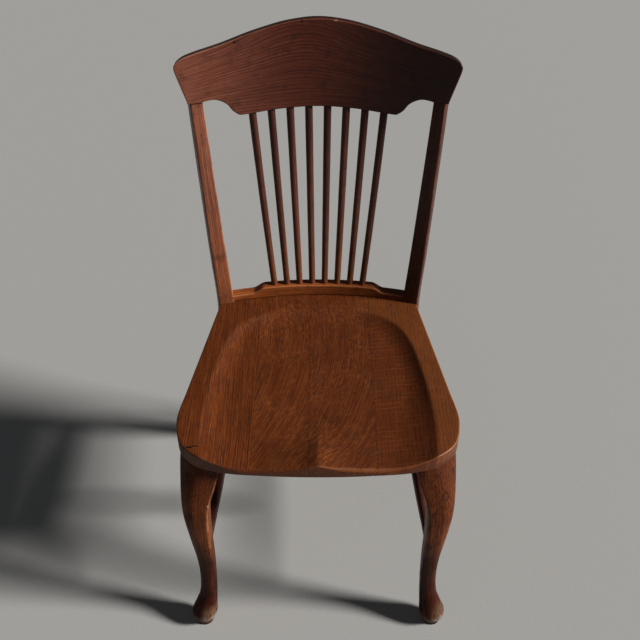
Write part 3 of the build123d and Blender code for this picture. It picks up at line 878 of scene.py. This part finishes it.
def build_posts():
    rings, grains, wears = [], [], []
    top = POST_STATIONS[-1][0]
    for height in (0.0, POST_FOOT_BEVEL, *np.linspace(0, top, 161)[1:]):
        points, grain, wear = post_section(height, POST_FOOT_BEVEL if height == 0 else 0.0)
        rings.append(points)
        grains.append(grain)
        if height == POST_FOOT_BEVEL:
            wears.append(np.maximum(wear, 0.6))
        else:
            wears.append(wear * (0.85 + 0.15 * math.sin(height * 61)))
    left = loft(rings, grains, wears)
    material = oak(
        "post_oak", dark=(0.040, 0.0125, 0.0068), mid=(0.112, 0.036, 0.020),
        pale=(0.190, 0.078, 0.046), worn=(0.26, 0.135, 0.090), ring=0.0034, ring_depth=0.55,
        pore=0.55, ray=0.15, mottle=0.5, edge=0.55, roughness=0.40, coat=0.06,
    )
    under_crest = crest_point(np.array([CREST_POST_X]), CREST_UNDERSIDE, np.array([0.0]))[0]
    up_lean = (0, math.sin(CREST_RECLINE), math.cos(CREST_RECLINE))

    # Painted light above the seat, warmer low down, on the post towards -x.
    def paler(points):
        return blend(
            points[:, 2], (0.36, (1.0, 1.0, 1.0)), (0.44, (1.55, 1.40, 1.05)),
            (0.62, (1.5, 1.45, 1.38)),
        )

    # Painted shade above the seat, on the post towards +x.
    def darker(points):
        return blend(points[:, 2], (0.36, (1.0, 1.0, 1.0)), (0.44, (0.50, 0.40, 0.35)))

    posts = (("left", left, 0.0, darker), ("right", left.mirrored(), 0.23, paler))
    for side, shape, shift, tone_and_painted_light in posts:
        name = f"rear_post_{side}"
        mesh = make_mesh(f"{name}_wood", shape, (shift, 0, shift), tone_and_painted_light)
        cut_away(mesh, under_crest, up_lean)
        add_piece(f"{name}_wood", mesh, [name], material)


# ---- spindle rail and spindles ----------------------------------------------------------------
def rail_height(x):
    """Top of the rail: low ends, ogees and a raised middle."""
    rise = RAIL_RAISED_HEIGHT - RAIL_END_HEIGHT
    return RAIL_END_HEIGHT + rise * (1 - smoothstep(*RAIL_STEP, abs(x)))


def rail_point(x, depth, height):
    y = RAIL_FRONT_Y - RAIL_RADIUS + np.sqrt((RAIL_RADIUS + depth) ** 2 - x * x)
    return x, y, RAIL_FOOT_Z + height


def build_rail():
    rings, grains, wears = [], [], []
    for x in np.linspace(-RAIL_HALF_LENGTH, RAIL_HALF_LENGTH, 161):
        top = float(rail_height(x))
        flat, wear = rounded_section(RAIL_THICKNESS, top, 0.0010, 0.0026, arc=5)
        depth = flat[:, 0] + RAIL_THICKNESS / 2
        height = flat[:, 1] + top / 2
        rings.append(np.array([rail_point(x, d, h) for d, h in zip(depth, height)]))
        grains.append(np.column_stack((height, depth, np.full(len(flat), x))))
        wears.append(np.where(height > top * 0.5, wear, 0.0))
    shape = loft(rings, grains, wears)
    material = oak(
        "rail_oak", dark=(0.085, 0.0210, 0.0050), mid=(0.230, 0.0580, 0.0130),
        pale=(0.340, 0.115, 0.030), worn=(0.38, 0.17, 0.07), ring=0.0038, ring_depth=0.5,
        pore=0.5, mottle=0.5, edge=0.45, coat=0.06,
    )

    # Painted shadow over the rail's end towards +x.
    def tone_and_painted_light(points):
        return blend(points[:, 0], (0.08, (1.0, 1.0, 1.0)), (0.13, (0.50, 0.42, 0.36)))

    mesh = make_mesh("spindle_rail_wood", shape, (0.4, 0, 0), tone_and_painted_light)
    add_piece("spindle_rail_wood", mesh, ["spindle_rail"], material)


def tube(start, end, radius_at, bow=0.0, steps=60, sides=28):
    """Round stick from start to end. Its middle stands forward of the straight line by bow."""
    start, end = Vector(start), Vector(end)
    length = (end - start).length
    rings, grains, wears = [], [], []
    for t in np.linspace(0, 1, steps + 1):
        centre = start.lerp(end, t) - Vector((0, bow * 4 * t * (1 - t), 0))
        direction = (end - start) - Vector((0, bow * 4 * (1 - 2 * t), 0))
        direction.normalize()
        reference = Vector((0, 1, 0)) if abs(direction.y) < 0.8 else Vector((0, 0, 1))
        side = direction.cross(reference).normalized()
        up = side.cross(direction)
        radius = radius_at(t)
        ring, grain = [], []
        for k in range(sides):
            angle = 2 * math.pi * k / sides
            ring.append(centre + (side * math.cos(angle) - up * math.sin(angle)) * radius)
            grain.append((radius * math.cos(angle), radius * math.sin(angle), t * length))
        rings.append(ring)
        grains.append(grain)
        wears.append([0.12] * sides)
    return loft(rings, grains, wears)


def build_spindles():
    materials = [
        oak(f"spindle_oak_{k + 1}", dark=shade((0.020, 0.0052, 0.0032), tone),
            mid=shade((0.066, 0.0175, 0.0098), tone), pale=shade((0.120, 0.040, 0.022), tone),
            worn=(0.20, 0.10, 0.07), ring=0.0026, ring_depth=0.6, pore=0.5, mottle=0.5, edge=0.4,
            roughness=0.38, coat=0.06)
        for k, tone in enumerate((1.0, 0.86, 1.12))
    ]

    # Lighter low down and dimmer near the crest.
    def tone_and_painted_light(points):
        return blend(
            points[:, 2], (0.43, (1.7, 1.9, 1.3)), (0.62, (1.0, 1.0, 1.0)),
            (0.76, (0.75, 0.70, 0.75)),
        )

    for index in range(SPINDLE_COUNT):
        offset = index - (SPINDLE_COUNT - 1) / 2
        x_low, x_high = offset * SPINDLE_PITCH_LOW, offset * SPINDLE_PITCH_HIGH
        low = rail_point(x_low, RAIL_THICKNESS / 2, RAIL_RAISED_HEIGHT - SPINDLE_SUNK_LOW)
        up = CREST_ARCH * (1 - abs(x_high) / CREST_TIP_X) + SPINDLE_SUNK_HIGH
        high = crest_point(np.array([x_high]), up, np.array([CREST_THICKNESS / 2]))[0]

        def radius_at(t, index=index):
            turned = SPINDLE_RADIUS_LOW + t * (SPINDLE_RADIUS_HIGH - SPINDLE_RADIUS_LOW)
            return turned + 0.00006 * math.sin(17 * t + 2.1 * index)

        name = f"spindle_{index + 1}"
        shape = tube(low, high, radius_at, SPINDLE_BOW)
        mesh = make_mesh(f"{name}_wood", shape, (0.11 * index, 0, 0.07 * index), tone_and_painted_light)
        add_piece(f"{name}_wood", mesh, [name], materials[index % 3])


# ---- front legs -------------------------------------------------------------------------------
def build_legs():
    rings, wears = [], []
    pad_foot, foot_x, foot_y = LEG_STATIONS[0][:3]
    round_loop = unit(rounded_section(2, 2, 0.999, 0.999, arc=9)[0])
    count = len(round_loop)
    for height, radius in SOLE:
        centre = np.array((foot_x, foot_y))
        rings.append(np.column_stack((centre + radius * round_loop, np.full(count, height))))
        wears.append(np.full(count, 0.25))
    heights = np.concatenate((
        pad_foot + np.array((0.0002, 0.0009)), np.arange(0.0138, 0.0395, 0.0015),
        np.arange(0.0400, 0.3961, 0.003),
    ))
    for height in heights:
        *centre, width, thickness, front_outer, other = smooth_at(LEG_STATIONS, height)
        flat, wear = rounded_section(width, thickness, front_outer, other, arc=9)
        rings.append(np.column_stack((np.array(centre) + flat, np.full(count, height))))
        pad = 0.92 * smoothstep(0.048, 0.024, height) * (flat[:, 1] < 0.006)
        wears.append(np.maximum(wear * 0.9, pad))
    grains = [ring - np.array((foot_x, foot_y, 0)) for ring in rings]
    left = loft(rings, grains, wears)
    knot = (-0.004, 0.004, 0.342)
    chip = (0.280, 0.002, 0.635)
    material = oak(
        "leg_oak", dark=(0.016, 0.0046, 0.0030), mid=(0.086, 0.0245, 0.0092),
        pale=(0.170, 0.058, 0.020), worn=(0.21, 0.115, 0.075), ring=0.0050, ring_depth=0.55,
        pore=0.55, ray=0.15, mottle=0.9, edge=0.6, roughness=0.44, coat=0.0, specular=0.09,
        dirt=0.65, marks=[
            (knot, (0.0060, 0.02, 0.0090), (0.020, 0.006, 0.004), 0.60),
            (knot, (0.0030, 0.02, 0.0052), (0.095, 0.032, 0.018), 0.55),
            (chip, (0.0013, 0.006, 0.0013), (0.40, 0.27, 0.20), 0.9),
        ],
    )

    def tone_and_painted_light(points):
        """Dark sole with a painted shade line in the groove under the pad, red-brown shin, amber
        knee, and painted shade under the seat at the top. The pads are greyish towards +x, the lit
        side: worn finish with a painted sheen over it.
        """
        up = blend(
            points[:, 2], (0.0, (0.55, 0.60, 0.50)), (pad_foot - 0.001, (0.55, 0.55, 0.45)),
            (pad_foot, (0.12, 0.12, 0.12)), (pad_foot + 0.003, (0.70, 0.62, 0.60)),
            (0.055, (0.42, 0.25, 0.20)), (0.160, (0.43, 0.28, 0.22)),
            (0.240, (1.35, 1.20, 0.78)), (0.310, (1.18, 1.00, 0.74)), (0.380, (0.82, 0.70, 0.62)),
        )
        # greyish pads towards +x: worn finish with a painted sheen on the lit side
        aside = points[:, 0] - np.sign(points[:, 0]) * foot_x
        worn_and_sheen = smoothstep(-0.010, 0.010, aside) * smoothstep(0.062, 0.038, points[:, 2])
        worn_and_sheen = worn_and_sheen * smoothstep(pad_foot + 0.003, pad_foot + 0.009, points[:, 2])
        return up * (1 - worn_and_sheen[:, None]) + worn_and_sheen[:, None] * np.array((1.10, 1.90, 2.80))

    leg_x, leg_y = LEG_STATIONS[-1][1:3]
    under_seat = seat_point(np.array([leg_x]), np.array([leg_y]), np.array([SEAT_THICKNESS]))[0]
    seat_up = (0, math.sin(SEAT_TILT), math.cos(SEAT_TILT))
    for side, shape, shift in (("left", left, 0.0), ("right", left.mirrored(), 0.31)):
        name = f"front_leg_{side}"
        mesh = make_mesh(f"{name}_wood", shape, (shift, 0, shift), tone_and_painted_light)
        cut_away(mesh, under_seat, seat_up)
        add_piece(f"{name}_wood", mesh, [name], material)


# ---- stretchers -------------------------------------------------------------------------------
def build_stretchers():
    material = oak(
        "stretcher_oak", dark=(0.022, 0.0062, 0.0042), mid=(0.082, 0.0225, 0.0135),
        pale=(0.140, 0.048, 0.028), worn=(0.21, 0.11, 0.075), ring=0.0036, ring_depth=0.55,
        pore=0.5, mottle=0.6, edge=0.4, roughness=0.38, coat=0.06,
    )

    def bar(start, end, outline):
        table = [(t, radius * 0.001) for t, radius in outline]
        return tube(start, end, lambda t: smooth_at(table, t)[0], steps=90, sides=36)

    def level_bar(half, y, z, outline):
        return bar((-half, y, z), (half, y, z), outline)

    left = bar(SIDE_START, SIDE_END, SIDE_OUTLINE)
    crossing = SIDE_START.lerp(SIDE_END, CROSS_SHARE)
    cross = level_bar(crossing.x - CROSS_SHOULDER, crossing.y, crossing.z, CROSS_OUTLINE)
    half_width, depth_y = smooth_at(POST_STATIONS, REAR_HEIGHT)[:2]
    rear = level_bar(half_width - REAR_SHOULDER, depth_y, REAR_HEIGHT, REAR_OUTLINE)
    bars = (("side_stretcher_left", left), ("side_stretcher_right", left.mirrored()),
            ("cross_stretcher", cross), ("rear_stretcher", rear))
    for k, (name, shape) in enumerate(bars):
        mesh = make_mesh(f"{name}_wood", shape, (0.19 * k, 0, 0.13 * k))
        add_piece(f"{name}_wood", mesh, [name], material)


# ---- fasteners --------------------------------------------------------------------------------
def finish_fasteners():
    metal = steel("screw_steel")
    for name in ("rail_screws", "post_screws", "crest_pins"):
        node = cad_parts[name]
        node.data.materials.clear()
        node.data.materials.append(metal)


# ---- floor, light and camera ------------------------------------------------------------------
def build_floor(size=14.0, cells=28):
    mesh = bpy.data.meshes.new("floor")
    bm = bmesh.new()
    bmesh.ops.create_grid(bm, x_segments=cells, y_segments=cells, size=size / 2)
    bm.to_mesh(mesh)
    bm.free()
    floor = bpy.data.objects.new("floor", mesh)
    bpy.context.scene.collection.objects.link(floor)
    g = Graph("floor_matt")
    place = g.node("ShaderNodeTexCoord").outputs["Object"]
    tone = g.add(0.27, g.times(g.noise(place, 260.0, 2.0), 0.05))
    g.feed(g.shader.inputs["Base Color"], g.vector(tone, tone, g.times(tone, 0.985)))
    g.shader.inputs["Roughness"].default_value = 0.9
    g.bump(g.noise(place, 420.0, 2.0), 0.0006, 0.35)
    mesh.materials.append(g.material)


def soft_sun(name, direction, spread, power, colour):
    """Even light from far off. spread is how wide its source looks, in degrees."""
    lamp = bpy.data.lights.new(name, "SUN")
    lamp.angle = math.radians(spread)
    lamp.energy = power
    lamp.color = colour
    thing = bpy.data.objects.new(name, lamp)
    thing.rotation_euler = (-Vector(direction)).to_track_quat("-Z", "Y").to_euler()
    bpy.context.scene.collection.objects.link(thing)


def build_light():
    soft_sun("key_light", (0.86, -0.14, 0.50), 11, 6.8, (1.0, 0.965, 0.92))
    soft_sun("fill_light", (-0.40, -0.80, 0.70), 60, 0.12, (0.95, 0.97, 1.0))
    world = bpy.data.worlds.new("studio")
    bpy.context.scene.world = world
    world.use_nodes = True
    background = world.node_tree.nodes["Background"]
    background.inputs["Color"].default_value = (0.90, 0.95, 1.0, 1.0)
    background.inputs["Strength"].default_value = 0.06


def build_camera():
    """Looks down at the chair from the front, 41 degrees below level."""
    lens = bpy.data.cameras.new("camera")
    lens.lens = 49.57
    lens.sensor_width = 36.0
    camera = bpy.data.objects.new("camera", lens)
    camera.location = (0.003, -1.1065, 1.4527)
    camera.rotation_euler = (math.radians(49.04), 0, 0)
    bpy.context.scene.collection.objects.link(camera)
    bpy.context.scene.camera = camera


build_seat()
build_crest()
build_posts()
build_rail()
build_spindles()
build_legs()
build_stretchers()
finish_fasteners()
build_floor()
build_light()
build_camera()
bpy.context.scene.view_settings.view_transform = "Standard"
